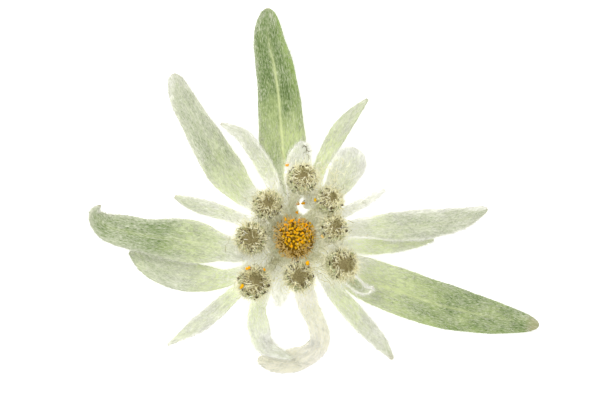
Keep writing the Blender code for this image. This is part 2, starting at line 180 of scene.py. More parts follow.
class Bract:
    """One blade, from its root's bearing round the axis, its root's height and half width, and the
    stations of its rib: x, y, z, half width and roll. tip: how blunt its end is. pale: how white its
    felt is at the root, the middle and the tip, from 0 for bare green. arch: how far its margins
    hang. edges: what its left and right margins add to pale, and rims the line along each. fresh:
    how yellow-green the root is, how deep a green the margins are, left and right, and how
    yellow-green it is all over. cream: how creamy. dry: the share of it that has withered."""

    def __init__(self, bearing, root, stations, tip, pale, arch=0.3, edges=(0.15, 0.15),
                 rims=(0.25, 0.25), fresh=(0.6, 0, 0, 0), rib=0.2, cream=0, dry=0.005):
        angle = math.radians(bearing)
        start = (ROOT_RADIUS * math.cos(angle), ROOT_RADIUS * math.sin(angle), *root, 0)
        self.stations = np.array([start, *stations])
        self.length = np.linalg.norm(np.diff(self.stations[:, :3], axis=0), axis=1).sum()
        self.widest = self.stations[:, 3].max()
        self.tip, self.arch, self.pale, self.edges, self.rims = tip, arch, pale, edges, rims
        self.fresh, self.rib, self.cream, self.dry = fresh, rib, cream, dry
        self.phase = bearing / 10


BRACTS = {
    "bract_top_long": Bract(103, (LOW, 1.2), (
        (-1.8, 10, 5.1, 2.6, 0), (-2.2, 14.8, 5.3, 3.9, -2), (-2.6, 19.6, 5, 3.9, -4),
        (-3, 24.3, 4.3, 3.6, -5), (-3.7, 29.1, 3.2, 3.3, -6), (-4.7, 33.8, 1.8, 2.9, -7),
        (-4.9, 39.2, 0.3, 2.45, -6),
    ), tip=13, pale=(0.3, -0.24, -0.2), arch=0.35, edges=(0.22, 0.25), rims=(0.1, 0),
       fresh=(0.5, 0, 0.8, -0.05), rib=1),
    "bract_upper_left_long": Bract(135, (LOW, 1.3), (
        (-5.9, 5.3, 5.1, 1.4, 4), (-8.75, 7.45, 5.4, 2.2, 8), (-11.85, 11.15, 5.4, 3.2, 12),
        (-14.45, 15.25, 4.9, 3.05, 14), (-16.85, 19.3, 4.2, 2.65, 16), (-19.3, 23.55, 3.3, 2.35, 18),
        (-21, 27.9, 2.7, 2.1, 20),
    ), tip=14, pale=(0.7, 0.22, 0.42), arch=0.5, edges=(0.3, 0.22), rims=(0.05, 0.05),
       fresh=(0.6, 0, 0, -0.08), rib=0.15),
    "bract_upper_left_slim": Bract(114, (MIDDLE, 0.9), (
        (-3.6, 8.3, 6.5, 1.1, -4), (-5.2, 11.7, 6.9, 1.4, -8), (-7.1, 14.7, 6.9, 1.3, -4),
        (-9.2, 17.4, 6.4, 1.3, 8), (-12.8, 19.3, 5.5, 0.85, 25),
    ), tip=6, pale=(0.75, 0.6, 0.62), dry=0.012),
    "bract_left_slim": Bract(161, (HIGH, 0.8), (
        (-8.3, 2.7, 7.8, 0.9, 0), (-11.2, 3.75, 7.9, 1.1, -5), (-14.3, 4.7, 7.6, 1.35, -10),
        (-17.5, 5.6, 6.8, 1.5, -15), (-20.6, 6.9, 5.7, 1.2, -20),
    ), tip=4, pale=(0.85, 0.6, 0.4), fresh=(0.6, 0, 0, 0.1), dry=0.012),
    "bract_left_long": Bract(187, (MIDDLE, 1.2), (
        (-8.8, -2.15, 6.6, 2, 0), (-12.6, -1.75, 6.8, 2.35, 0), (-16.7, -0.95, 6.7, 3.7, 2),
        (-20.9, -0.3, 6.2, 3.55, 4), (-25.2, 0.2, 5.4, 2.95, 6), (-28.9, 0.95, 4.7, 2.85, 8),
        (-32.3, 1.8, 4.6, 2.5, 12), (-34.3, 3.9, 5.6, 1.4, 25), (-33.2, 5.4, 7.2, 0.5, 45),
    ), tip=9, pale=(0.8, -0.05, 0.26), arch=0.45, edges=(0.25, 0.2), rims=(0, 0.2),
       fresh=(0.85, 0, 0, -0.38), rib=0.3),
    "bract_left_lower": Bract(212, (LOW, 1.1), (
        (-8.5, -5.75, 5, 1.15, 0), (-11.9, -7, 4.9, 1.5, -2), (-15.3, -7.1, 4.3, 2.2, -4),
        (-18.7, -6.75, 3.3, 2.6, -4), (-22.15, -5.85, 2.1, 2.7, -3), (-25.6, -4.3, 0.9, 2.5, 0),
        (-28.6, -2.6, 0.3, 1.4, 5),
    ), tip=7, pale=(0.85, 0.45, 0.35), arch=0.4, edges=(-0.05, 0.1), rims=(0, 0),
       fresh=(0.85, 0, 0, 0)),
    "bract_lower_left_slim": Bract(221, (MIDDLE, 0.8), (
        (-7, -6.5, 6.5, 1, 3), (-9.6, -8.8, 6.5, 1.1, 6), (-12.45, -11.4, 6, 1.45, 10),
        (-15.15, -13.75, 5.1, 1.8, 15), (-18.1, -15.85, 4, 1.85, 22), (-21.9, -18.5, 2.8, 1, 30),
    ), tip=3, pale=(0.8, 0.66, 0.62), fresh=(0.9, 0, 0, 0.12)),
    "bract_bottom_left_slim": Bract(246, (MIDDLE, 0.8), (
        (-4.9, -8.2, 6.4, 1.2, 2), (-6.5, -11.7, 6.1, 1.4, 5), (-6.4, -15.3, 5.1, 1.9, 8),
        (-5.7, -18.15, 4, 1.85, 12), (-3.6, -19.6, 3.2, 1.45, 18), (-0.7, -20.7, 2.9, 0.9, 25),
    ), tip=4, pale=(0.88, 0.9, 0.62), rims=(0, 0.5), fresh=(0.9, 0, 0, 0.1)),
    "bract_bottom_hooked": Bract(283, (LOW, 1), (
        (1.4, -8.6, 4.8, 1.6, 0), (2.1, -11.6, 4.3, 1.7, -3), (3.5, -14.6, 3.2, 1.55, -6),
        (4.15, -17.7, 2.1, 1.75, -10), (2.6, -19.9, 1.4, 1.8, -12), (-0.3, -21.2, 0.9, 2.15, -10),
        (-3.6, -21.6, 0.7, 2, -5), (-6.6, -20.9, 0.7, 1.7, 0),
    ), tip=9, pale=(0.9, 0.9, 0.4), arch=0.4, cream=0.75),
    "bract_lower_right_slim": Bract(307, (MIDDLE, 0.8), (
        (5, -7, 6.4, 1.1, -2), (7.15, -9.9, 6.4, 1.5, -5), (9.55, -12.7, 5.8, 1.75, -9),
        (12, -15.35, 4.8, 1.9, -14), (14.3, -17.85, 3.6, 1.95, -20), (16.55, -20.9, 2.6, 1.5, -25),
    ), tip=3, pale=(0.7, 0.65, 0.6), fresh=(0.9, 0, 0, 0.18), dry=0.03),
    "bract_right_long": Bract(333, (LOW, 1.2), (
        (8.6, -5.3, 5.1, 2.8, 2), (12.6, -7.4, 5.3, 3.7, 3), (17.2, -9.15, 5, 3.95, 2),
        (22.3, -10.95, 4.3, 4, 0), (27.25, -12.3, 3.4, 3.75, -3), (32.05, -13.4, 2.4, 3.25, -6),
        (36.7, -14.3, 1.2, 2.75, -8), (41.65, -15.2, 0.3, 2.35, -8),
    ), tip=9, pale=(0.9, -0.08, -0.1), arch=0.4, edges=(0.13, 0.06), rims=(0, 0),
       fresh=(0.62, 0.1, 0.45, 0.05), rib=0.6, dry=0.03),
    "bract_right_under": Bract(3, (LOW, 0.9), (
        (8.5, -1.2, 4.8, 1.2, 2), (12.2, -1.6, 4.8, 1.4, 4), (16.1, -1.4, 4.4, 1.4, 6),
        (19.9, -1, 3.7, 1.3, 8), (23.5, -0.5, 3.1, 0.9, 10),
    ), tip=4, pale=(0.8, 0.55, 0.45), fresh=(0.9, 0.2, 0, 0.5)),
    "bract_right_upper_long": Bract(11, (MIDDLE, 1), (
        (8.5, 1.3, 6.5, 1.3, 0), (12.8, 1.6, 6.8, 1.9, 3), (17.7, 1.8, 6.8, 2.6, 6),
        (22.8, 2.2, 6.3, 2.7, 9), (27.9, 3, 5.5, 2.5, 12), (32.6, 4.85, 4.5, 2, 15),
    ), tip=5, pale=(0.8, 0.42, 0.42), arch=0.4, edges=(0.35, -0.05), rims=(0.1, 0.6),
       fresh=(0.4, 0, 0, -0.08)),
    "bract_right_small": Bract(29, (HIGH, 0.7), (
        (7.5, 3.8, 7.8, 0.7, 4), (10, 5.1, 7.9, 0.8, 8), (12.6, 6.45, 7.6, 0.9, 14),
        (15.1, 7.95, 7, 0.6, 20),
    ), tip=3, pale=(1, 0.95, 0.95), arch=0.25),
    "bract_upper_right_broad": Bract(52, (HIGH, 1), (
        (5.3, 6.3, 7.9, 1.4, 0), (6.8, 8.5, 9, 2.1, 2), (8.2, 10.7, 10.6, 2.7, 5),
        (9.25, 12.9, 11.4, 3, 8), (9.85, 15.1, 10.6, 2.75, 10),
    ), tip=10, pale=(0.45, 0.6, 0.85), arch=0.5, fresh=(0.6, 0, 0, 0.15)),
    "bract_upper_right_slim": Bract(63, (MIDDLE, 1.15), (
        (2.9, 8.3, 6.5, 1.2, -2), (4.1, 11.9, 6.8, 1.1, -5), (5.65, 15, 6.7, 1.45, -9),
        (7.55, 18.25, 6.2, 1.75, -14), (9.8, 21, 5.5, 1.5, -18), (12.2, 23.5, 4.8, 1.1, -20),
    ), tip=4, pale=(0.75, 0.55, 0.38), rims=(0, 0), fresh=(0.9, 0.2, 0.3, 0.25)),
    "bract_top_small": Bract(98, (HIGH, 0.8), (
        (-0.2, 8, 7.5, 1.5, 0), (0, 10.7, 8, 2, 0), (0.6, 13.4, 8.5, 2.2, 0),
        (1.3, 16.2, 8.2, 1.9, 0),
    ), tip=5, pale=(0.85, 0.8, 0.65), arch=0.35),
    "bract_bottom_small": Bract(256, (HIGH, 0.8), (
        (-2, -7.1, 7.5, 1, 0), (-2.6, -9.4, 7.2, 1.4, 0), (-2.9, -11.8, 6.6, 1.3, 0),
    ), tip=5, pale=(0.9, 0.85, 0.8)),
    "bract_right_curl": Bract(324, (HIGH, 0.8), (
        (7.1, -5.3, 7.6, 0.9, 0), (9.5, -7.3, 7.6, 1.2, 8), (11.6, -8.8, 7.8, 1.1, 16),
        (13.1, -8.5, 8.8, 0.7, 30),
    ), tip=4, pale=(0.9, 0.15, 0.6), arch=-0.9, edges=(0.7, 0.7)),
}


def along_stations(stations, share):
    """The smooth curve through evenly spaced stations, read at shares 0 to 1 of its length."""
    rows = np.vstack([2 * stations[0] - stations[1], stations, 2 * stations[-1] - stations[-2]])
    spans = len(stations) - 1
    index = np.minimum((share * spans).astype(int), spans - 1)
    f = (share * spans - index)[:, None]
    before, here, after, beyond = (rows[index + step] for step in range(4))
    bend = 2 * before - 5 * here + 4 * after - beyond
    twist = 3 * here - before - 3 * after + beyond
    return (2 * here + (after - before) * f + bend * f**2 + twist * f**3) / 2


def unit(vectors):
    return vectors / np.linalg.norm(vectors, axis=-1, keepdims=True)


def blade(bract, share, across):
    """Points of a blade's middle surface, from shares 0 to 1 of its length and -1 to 1 of its width,
    with the directions along it, to its left and out of its face, and its half width there."""
    step = 0.01
    station = along_stations(bract.stations, share)
    ahead = along_stations(bract.stations, np.minimum(share + step, 1))
    behind = along_stations(bract.stations, np.maximum(share - step, 0))
    along = unit((ahead - behind)[:, :3])
    flat = unit(np.cross([0, 0, 1], along))
    roll = np.radians(station[:, 4])[:, None]
    left = flat * np.cos(roll) + np.cross(along, flat) * np.sin(roll)
    out = np.cross(along, left)
    taper = np.sqrt(np.clip(1 - share**bract.tip, 0, 1))
    notches = 2 * np.sin(31 * share + bract.phase) + np.sin(83 * share + 2 * bract.phase)
    half_width = np.maximum(station[:, 3] * taper * (1 + RAGGED_EDGE * notches), LEAST_HALF_WIDTH)
    hang = bract.arch * (half_width / bract.widest) ** 2 * across**2
    ripple = RIPPLE * np.sin(24 * share + bract.phase + 2 * across) * np.abs(across)
    groove = np.exp(-((across * half_width / GROOVE_WIDTH) ** 2)) * np.clip(3 - 3.4 * share, 0, 1)
    sunk = hang + GROOVE_DEPTH * groove - ripple
    point = station[:, :3] + left * (across * half_width)[:, None] - out * sunk[:, None]
    point[:, 2] = np.maximum(point[:, 2], BLADE_THICKNESS / 2)
    return point + FLOWER_AXIS, along, left, out, half_width


def paleness(bract, share, across):
    """How white a blade's felt is at places on it."""
    inward = 0.55 - 0.9 * np.clip((share - 0.86) / 0.14, 0, 1)
    margin = np.clip((np.abs(across) - inward) / 0.4, 0, 1) ** 1.5
    rim = np.clip((np.abs(across) - 0.86) / 0.1, 0, 1)
    return (np.interp(share, (0, 0.5, 1), bract.pale)
            + margin * np.where(across > 0, *bract.edges) + rim * np.where(across > 0, *bract.rims))


# painted light: a glow given to the tissue by the distance from the axis, which stands in for the light
# that comes through it and lifts the shade round the heads, and the places of painted light and painted
# shade, brighter or darker than elsewhere: x, y, reach, by how much
LIGHT_DISTANCES = (4, 6, 8.5, 12, 17)
PAINTED_GLOW_THERE = (0.21, 0.21, 0.28, 0.23, 0.09)
PAINTED_LIGHT_AND_SHADE = (
    (3.6, -2.2, 1.9, 0.13), (3.4, -5.4, 1.4, 0.12), (-1.9, 10.8, 1.2, 0.12), (-3.6, -10, 2, 0.08),
    (4.6, 4, 1, 0.06), (10.6, -1, 1.6, 0.08), (-3.9, 0.9, 1.5, -0.09), (-5.9, 2.6, 1, -0.06),
    (-3.4, -3.4, 1.2, -0.05), (-4, -5.8, 0.9, -0.06), (3.4, 9.4, 1.4, 0.14), (-9.5, -8.4, 1.8, 0.18),
    (-8.4, -2.8, 1.8, -0.24), (12.5, -6.5, 2.6, 0.06), (-1.8, 8, 1.4, -0.1), (5.2, -6, 1.2, 0.12),
    (8.7, -2.4, 1.3, -0.08), (-7.2, -10.2, 1.3, 0.15), (4.6, -3.6, 1.2, 0.12), (-5.6, -2.9, 1, -0.1),
    (2, 7, 1.1, -0.09), (-3, 2.6, 1.2, -0.1),
)


def painted_glow_at(points):
    """Painted light at places, most round the heads: a glow that stands in for the light coming up
    through the thin woolly tissue, lifts the shade among the heads, and brightens or shades given spots.
    """
    flat = (points - FLOWER_AXIS)[:, :2]
    light = np.interp(np.linalg.norm(flat, axis=1), LIGHT_DISTANCES, PAINTED_GLOW_THERE)
    for *place, reach, change in PAINTED_LIGHT_AND_SHADE:
        light += change * np.exp(-((flat - place) ** 2).sum(axis=1) / reach**2)
    return np.maximum(light, 0)


CROWN_WOOL_REACH, CROWN_WOOL_FADE = 12.8, 3


def crown_wool_on(points):
    """How thick the wool of the crown still lies on the bracts at places: 1 is thick, 0 is none."""
    distance = np.linalg.norm((points - FLOWER_AXIS)[:, :2], axis=1)
    return np.clip((CROWN_WOOL_REACH - distance) / CROWN_WOOL_FADE, 0, 1)


def give_values(mesh, **values):
    """Number attributes on a mesh's points, for its material to read."""
    for name, numbers in values.items():
        layer = mesh.attributes.new(name, "FLOAT", "POINT")
        layer.data.foreach_set("value", np.asarray(numbers, dtype=np.float32))


def paint(red, green, blue):
    """A colour as a painter reads it in full light, 0 to 255, as the surface's own linear colour."""
    shares = [channel / 255 for channel in (red, green, blue)]
    return (*[s / 12.92 if s < 0.04045 else ((s + 0.055) / 1.055) ** 2.4 for s in shares], 1)


def ramp(tree, value, stops):
    """A colour ramp with its stops as (position, red, green, blue)."""
    made = add_node(tree, "ValToRGB", {"Fac": value})
    elements = made.color_ramp.elements
    while len(elements) < len(stops):
        elements.new(0.5)
    for element, (position, *colour) in zip(elements, stops):
        element.position = position
        element.color = paint(*colour)
    return made.outputs["Color"]


def attribute(tree, name):
    return add_node(tree, "Attribute", {}, attribute_name=name).outputs["Fac"]


def maths(tree, operation, *values):
    return add_node(tree, "Math", dict(enumerate(values)), operation=operation).outputs[0]


def felt_ramp(tree, pale):
    """The colour of felt over green, by its paleness: 0 is bare green and 1 is white wool."""
    return ramp(tree, maths(tree, "MULTIPLY_ADD", pale, 0.625, 0.3125), (
        (0, 76, 96, 44), (0.156, 108, 128, 74), (0.3125, 142, 154, 113), (0.469, 172, 180, 149),
        (0.625, 198, 202, 175), (0.781, 216, 218, 200), (0.9375, 238, 238, 227), (1, 247, 247, 240)))


def stirred(tree, value, pattern, gain, more=1):
    """A value moved up and down by a pattern of 0 to 1."""
    swing = maths(tree, "MULTIPLY", maths(tree, "SUBTRACT", pattern, 0.5), more)
    return maths(tree, "MULTIPLY_ADD", swing, gain, value)


UV_PER_MM = 0.01
FRESH_REACH = (0, 0.1, 0.2, 0.35, 0.6)  # shares of a blade's length, from its woolly root
FRESH_SHARE = (0, 0.35, 0.8, 1, 0)  # how fresh a green it has there


def noise_at(tree, place, scale, detail, roughness=0.5):
    inputs = {"Vector": place, "Scale": scale, "Detail": detail, "Roughness": roughness}
    return add_node(tree, "TexNoise", inputs).outputs["Fac"]


def streaks(tree, along, across, detail, roughness=0.6):
    """Noise drawn out along the blade, by how fine it is along it and across it."""
    uv = add_node(tree, "UVMap", {}, uv_map="blade").outputs["UV"]
    stretch = (along / UV_PER_MM, across / UV_PER_MM, 1)
    drawn = add_node(tree, "VectorMath", {0: uv, 1: stretch}, operation="MULTIPLY").outputs[0]
    return noise_at(tree, drawn, 1, detail, roughness)


def add_piece(name, mesh, material, slot, *replaces):
    """An object for a finished mesh, riding on the flower."""
    mesh.shade_smooth()
    mesh.materials.clear()
    mesh.materials.append(material)
    obj = new_object(name, mesh)
    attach(obj, "root")
    if replaces:
        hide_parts(*replaces)
    return obj


bract_felt, tree = new_finish("bract_felt")
long_streaks = streaks(tree, 0.32, 3.4, 5, 0.65)
fine_streaks = streaks(tree, 1.5, 5.2, 3, 0.7)
pale = attribute(tree, "pale")
bareness = maths(tree, "SUBTRACT", 1.9, maths(tree, "MAXIMUM", pale, 0))
pale = stirred(tree, pale, streaks(tree, 0.28, 0.6, 3), 0.7)
pale = stirred(tree, pale, long_streaks, 0.45, bareness)
pale = stirred(tree, pale, fine_streaks, 1.2, bareness)
colour = felt_ramp(tree, pale)
yellow = stirred(tree, attribute(tree, "fresh"), streaks(tree, 0.2, 0.35, 2), 1.4)
yellow = maths(tree, "MINIMUM", maths(tree, "MAXIMUM", yellow, 0), 0.75)
for share, most, tint in ((yellow, 0.8, (208, 221, 152)),
                          (attribute(tree, "deep"), 0.8, (144, 172, 76)),
                          (attribute(tree, "rib"), 0.7, (212, 220, 160)),
                          (attribute(tree, "cream"), 1, (232, 224, 204)),
                          (attribute(tree, "dry"), long_streaks, (166, 152, 122))):
    colour = mixed(tree, maths(tree, "MULTIPLY", share, most), colour, paint(*tint))
# painted light: the blades' glow attribute stands in for light through the tissue and lifts their shade
# near the crown
coat(tree, colour, 0.75, 0.25, attribute(tree, "glow"), (fine_streaks, 0.5, 0.06))
set_inputs(tree, tree.nodes["Principled BSDF"], {"Sheen Weight": 0.15, "Sheen Roughness": 0.6})

for name, bract in BRACTS.items():
    bm = bmesh.new()
    bmesh.ops.create_grid(bm, x_segments=BLADE_ROWS, y_segments=BLADE_COLUMNS, size=1)
    grid = np.array([vertex.co for vertex in bm.verts])
    share = 1 - (1 - (grid[:, 0] + 1) / 2) ** 1.3  # rows closer at the tip
    across = np.sign(grid[:, 1]) * np.abs(grid[:, 1]) ** 1.5
    points, _, _, _, half_width = blade(bract, share, across)
    uv = np.stack([share * bract.length, across * half_width + 20 * bract.phase], axis=1) * UV_PER_MM
    layer = bm.loops.layers.uv.new("blade")
    for vertex, point, place in zip(bm.verts, points * MM, uv):
        vertex.co = point
        for loop in vertex.link_loops:
            loop[layer].uv = place
    mesh = mesh_of(bm)
    from_rib = np.abs(across * half_width) / (0.24 + 0.3 * np.clip(0.5 - share, 0, 1))
    margin = np.clip((np.abs(across) - 0.6) / 0.35, 0, 1) * np.clip(4 * share - 1.6, 0, 1)
    wool = crown_wool_on(points)
    root_green, left_green, right_green, whole_green = bract.fresh
    fresh = root_green * np.interp(share, FRESH_REACH, FRESH_SHARE) + whole_green
    give_values(mesh, pale=paleness(bract, share, across) + 0.25 * wool, glow=painted_glow_at(points),
                fresh=fresh - 0.8 * wool, deep=margin * np.where(across > 0, left_green, right_green),
                rib=bract.rib * np.clip(1.4 - from_rib, 0, 1) * np.clip(3.2 - 3.4 * share, 0, 1),
                cream=np.full(len(share), bract.cream * 0.8),
                dry=np.clip((share - 1 + 2 * bract.dry) / bract.dry, 0, 1))
    slot = "bract_green" if bract.rib > 0.2 else "bract_pale"
    obj = add_piece(name + "_blade", mesh, bract_felt, slot, name)
    solid = obj.modifiers.new("thickness", "SOLIDIFY")
    solid.thickness = BLADE_THICKNESS * MM
    solid.offset = 0
    rounded = obj.modifiers.new("rounded", "SUBSURF")
    rounded.levels = rounded.render_levels = 1


# ------------
# The felt of the bracts. Short white hairs lie along each blade, thin on the large green ones and
# thick on the small ones, and a soft fringe of longer ones stands out from the margins.

FELT_HAIR_RADIUS = 0.026
FRINGE_HAIR_RADIUS = 0.019
FELT_LEAST, FELT_MOST = 7.5, 30  # hairs on a square millimetre, from bare green to white
FRINGE_HAIRS = 20  # on a millimetre of margin
# painted light on the fringe hairs' tips, which stand out in the light from the table
FRINGE_PAINTED_GLOW = 0.1  # of their tips, which stand in the light from the table
UNDERSIDE_HAIRS = 8  # on a square millimetre
ROOT_WOOL = 330
ROOT_WOOL_REACH = 8


def form_of(bm):
    """A small form's points and triangles as arrays; the bmesh is freed."""
    bmesh.ops.triangulate(bm, faces=bm.faces)
    bm.verts.index_update()
    points = np.array([vertex.co for vertex in bm.verts])
    faces = np.array([[vertex.index for vertex in face.verts] for face in bm.faces])
    bm.free()
    return points, faces


def thread_form(joints, tip=0):
    """A closed thread of length and radius 1, with joints to bend at; tip is the radius of its end."""
    bm = bmesh.new()
    bmesh.ops.create_cone(bm, cap_ends=True, segments=3, radius1=1, radius2=tip, depth=1)
    bmesh.ops.translate(bm, verts=bm.verts, vec=(0, 0, 0.5))
    bmesh.ops.remove_doubles(bm, verts=bm.verts, dist=1e-4)
    for joint in range(1, joints):
        everything = bm.verts[:] + bm.edges[:] + bm.faces[:]
        bmesh.ops.bisect_plane(bm, geom=everything, plane_co=(0, 0, joint / joints), plane_no=(0, 0, 1))
    return form_of(bm)


def heights_in(joints, tip, count):
    """How far up its own thread, from 0 to 1, each point of some threads lies."""
    return np.tile(thread_form(joints, tip)[0][:, 2], count)


def repeated(form, places):
    """A form's copies from the places of their points; returns points, triangles and points in one."""
    points, faces = form
    numbered = faces[None] + (np.arange(len(places)) * len(points))[:, None, None]
    return places.reshape(-1, 3), numbered.reshape(-1, 3), len(points)


def sweep(form, lines, radius, aside):
    """Threads drawn along lines of places, one place for each joint of the form; aside is a direction
    for each thread that it never runs along."""
    points = form[0]
    joint = np.rint(points[:, 2] * (lines.shape[1] - 1)).astype(int)
    ahead = unit(np.gradient(lines, axis=1))
    first = unit(np.cross(ahead, aside[:, None]))
    second = np.cross(ahead, first)
    radius = np.broadcast_to(radius, len(lines))[:, None, None]
    ring = points[None, :, :1] * first[:, joint] + points[None, :, 1:2] * second[:, joint]
    return repeated(form, lines[:, joint] + radius * ring)


def grow(joints, roots, heading, towards, turn, length, radius, tip=0):
    """Threads that set off from their roots along a heading and turn evenly towards a side."""
    heading = unit(heading)
    side = unit(towards - heading * (towards * heading).sum(axis=1, keepdims=True) + 1e-9)
    share = np.linspace(0, 1, joints + 1)[None, :, None]
    turn = np.maximum(np.abs(np.broadcast_to(turn, len(roots))), 1e-3)[:, None, None]
    length = np.broadcast_to(length, len(roots))[:, None, None]
    forward = np.sin(turn * share) / turn
    sideways = (1 - np.cos(turn * share)) / turn
    lines = roots[:, None] + length * (heading[:, None] * forward + side[:, None] * sideways)
    return sweep(thread_form(joints, tip), lines, radius, np.cross(heading, side))


def joined(batches):
    """One mesh from batches of (points, triangles, values)."""
    mesh = bpy.data.meshes.new("threads")
    starts = np.cumsum([0] + [len(points) for points, _, _ in batches])
    points = np.concatenate([points for points, _, _ in batches])
    faces = np.concatenate([faces + start for (_, faces, _), start in zip(batches, starts)])
    mesh.from_pydata(points * MM, [], faces)
    for key in batches[0][2]:
        give_values(mesh, **{key: np.concatenate([values[key] for _, _, values in batches])})
    return mesh


def around(rng, count):
    """Random directions."""
    return unit(rng.normal(size=(count, 3)))


def hairs_of(threads, pale, glow=0):
    """A batch of hairs with their paleness and their painted glow: the painted light of the tissue at
    their places, and any glow on top.
    """
    points, faces, size = threads
    return points, faces, {"pale": np.repeat(pale, size), "glow": painted_glow_at(points) + glow}


felt_hair, tree = new_finish("felt_hair")
# painted light: the hairs glow by their glow attribute
coat(tree, felt_ramp(tree, attribute(tree, "pale")), 0.6, 0.3, attribute(tree, "glow"))

for name, bract in BRACTS.items():
    rng = np.random.default_rng(len(name) + int(10 * bract.widest))
    area = bract.length * 2 * bract.widest
    batches = []
    # lying on the face, and on the underside
    for side, most in ((1, FELT_MOST), (-1, UNDERSIDE_HAIRS)):
        count = int(area * most)
        share, across = rng.uniform(0.02, 0.985, count), rng.uniform(-0.97, 0.97, count)
        half_width = blade(bract, share, across)[4]
        wanted = np.clip(FELT_LEAST / most + paleness(bract, share, across), 0, 1) if side > 0 else 1
        kept = rng.uniform(0, 1, count) < half_width / bract.widest * wanted
        share, across = share[kept], across[kept]
        count = len(share)
        point, along, left, out, _ = blade(bract, share, across)
        turn = rng.normal(0, 0.33, count)[:, None]
        lift = rng.uniform(0, 0.15, count)[:, None]
        heading = along * np.cos(turn) + left * np.sin(turn) + side * out * lift
        roots = point + side * out * (BLADE_THICKNESS / 2 - 0.01)
        length = np.minimum(rng.uniform(0.5, 1.25, count), 0.3 + (1 - share) * bract.length)
        radius = FELT_HAIR_RADIUS * rng.uniform(0.7, 1.2, count)
        threads = grow(1, roots, heading, left, 0, length, radius)
        pale = 0.6 * paleness(bract, share, across) + rng.uniform(0.3, 0.75, count)
        batches.append(hairs_of(threads, np.clip(pale, 0, 1.1)))
    # the fringe
    for edge in (-1, 1):
        share = rng.uniform(0.01, 0.995, int(bract.length * FRINGE_HAIRS))
        woolly = 0.35 + 0.8 * paleness(bract, share, np.full(len(share), edge * 0.9))
        share = share[rng.uniform(0, 1, len(share)) < woolly]
        count = len(share)
        point, along, left, out, _ = blade(bract, share, np.full(count, edge * 0.98))
        spread = rng.uniform(0.1, 0.9, count)[:, None]
        heading = along + left * edge * spread + out * rng.normal(0, 0.3, count)[:, None]
        roots = point + out * rng.uniform(-0.15, 0.15, count)[:, None]
        threads = grow(1, roots, heading, along, 0, rng.uniform(0.3, 1.1, count), FRINGE_HAIR_RADIUS)
        # painted light, growing towards the tips
        glow = FRINGE_PAINTED_GLOW * heights_in(1, 0, count)
        batches.append(hairs_of(threads, rng.uniform(0.85, 1.05, count), glow))
    # wool at the root
    count = ROOT_WOOL
    reach = min(ROOT_WOOL_REACH / bract.length, 0.8)
    share, across = rng.uniform(0, reach, count), rng.uniform(-1, 1, count)
    point, along, left, out, _ = blade(bract, share, across)
    heading = along + out * rng.uniform(0.1, 1, count)[:, None] + 0.8 * around(rng, count)
    roots = point + out * BLADE_THICKNESS / 2
    threads = grow(2, roots, heading, around(rng, count), rng.uniform(0.5, 2, count),
                   rng.uniform(0.8, 2, count), FELT_HAIR_RADIUS)
    batches.append(hairs_of(threads, rng.uniform(0.8, 1.1, count)))
    add_piece(name + "_felt", joined(batches), felt_hair, "wool")


# ------------
# The crown. The short stalk swells into a knot that carries the bracts and, on short branches, the
# heads. It is one grown piece, grey-green under a coat of tangled white wool.

CROWN_VOXEL = 0.22
CROWN_LUMPS = 0.14
CROWN_WOOL = 8500
CROWN_WOOL_RADIUS = 0.028
GAP_CENTRE = np.array([1, 4.8])  # where the table shows through, between two branches
GAP_SPREAD = np.array([1, 1.2])
GAP_PUSH = 0.4  # how far the wool is drawn back from it
GAP_PUSH_REACH = 2.2


def scatter(mesh, count, rng):
    """Random places on a mesh, even by area, with the directions out of it."""
    mesh.calc_loop_triangles()
    places = np.array([vertex.co for vertex in mesh.vertices]) / MM
    corners = places[np.array([triangle.vertices for triangle in mesh.loop_triangles])]
    normals = np.cross(corners[:, 1] - corners[:, 0], corners[:, 2] - corners[:, 0])
    areas = np.linalg.norm(normals, axis=1)
    chosen = rng.choice(len(areas), count, p=areas / areas.sum())
    share = rng.dirichlet((1, 1, 1), count)[:, :, None]
    return (corners[chosen] * share).sum(axis=1), normals[chosen] / areas[chosen, None]


def from_gap(places):
    """How far places lie from the gap in the crown, against its size."""
    return np.linalg.norm(((places - FLOWER_AXIS)[:, :2] - GAP_CENTRE) / GAP_SPREAD, axis=1)


def noise_through(tree, scale, detail):
    """Fine noise through the body of a piece."""
    return noise_at(tree, add_node(tree, "TexCoord", {}).outputs["Object"], scale, detail)


wool_skin, tree = new_finish("wool_skin")
fibres = noise_through(tree, 3500, 4)
colour = mixed(tree, noise_through(tree, 700, 5), paint(184, 188, 142), paint(228, 226, 198))
colour = mixed(tree, maths(tree, "MULTIPLY", fibres, 0.5), colour, paint(240, 240, 226))
# painted light: a weak even glow lifts the shade in the wool of the knot
coat(tree, colour, 0.9, 0.2, 0.1, (fibres, 0.8, 0.1))

tangled_wool, tree = new_finish("tangled_wool")
colour = ramp(tree, attribute(tree, "pale"), (
    (0, 120, 114, 74), (0.4, 184, 180, 136), (0.7, 220, 218, 186), (1, 245, 244, 232)))
# painted light: the wool glows by its glow attribute, which lifts its shade
coat(tree, colour, 0.6, 0.3, attribute(tree, "glow"))

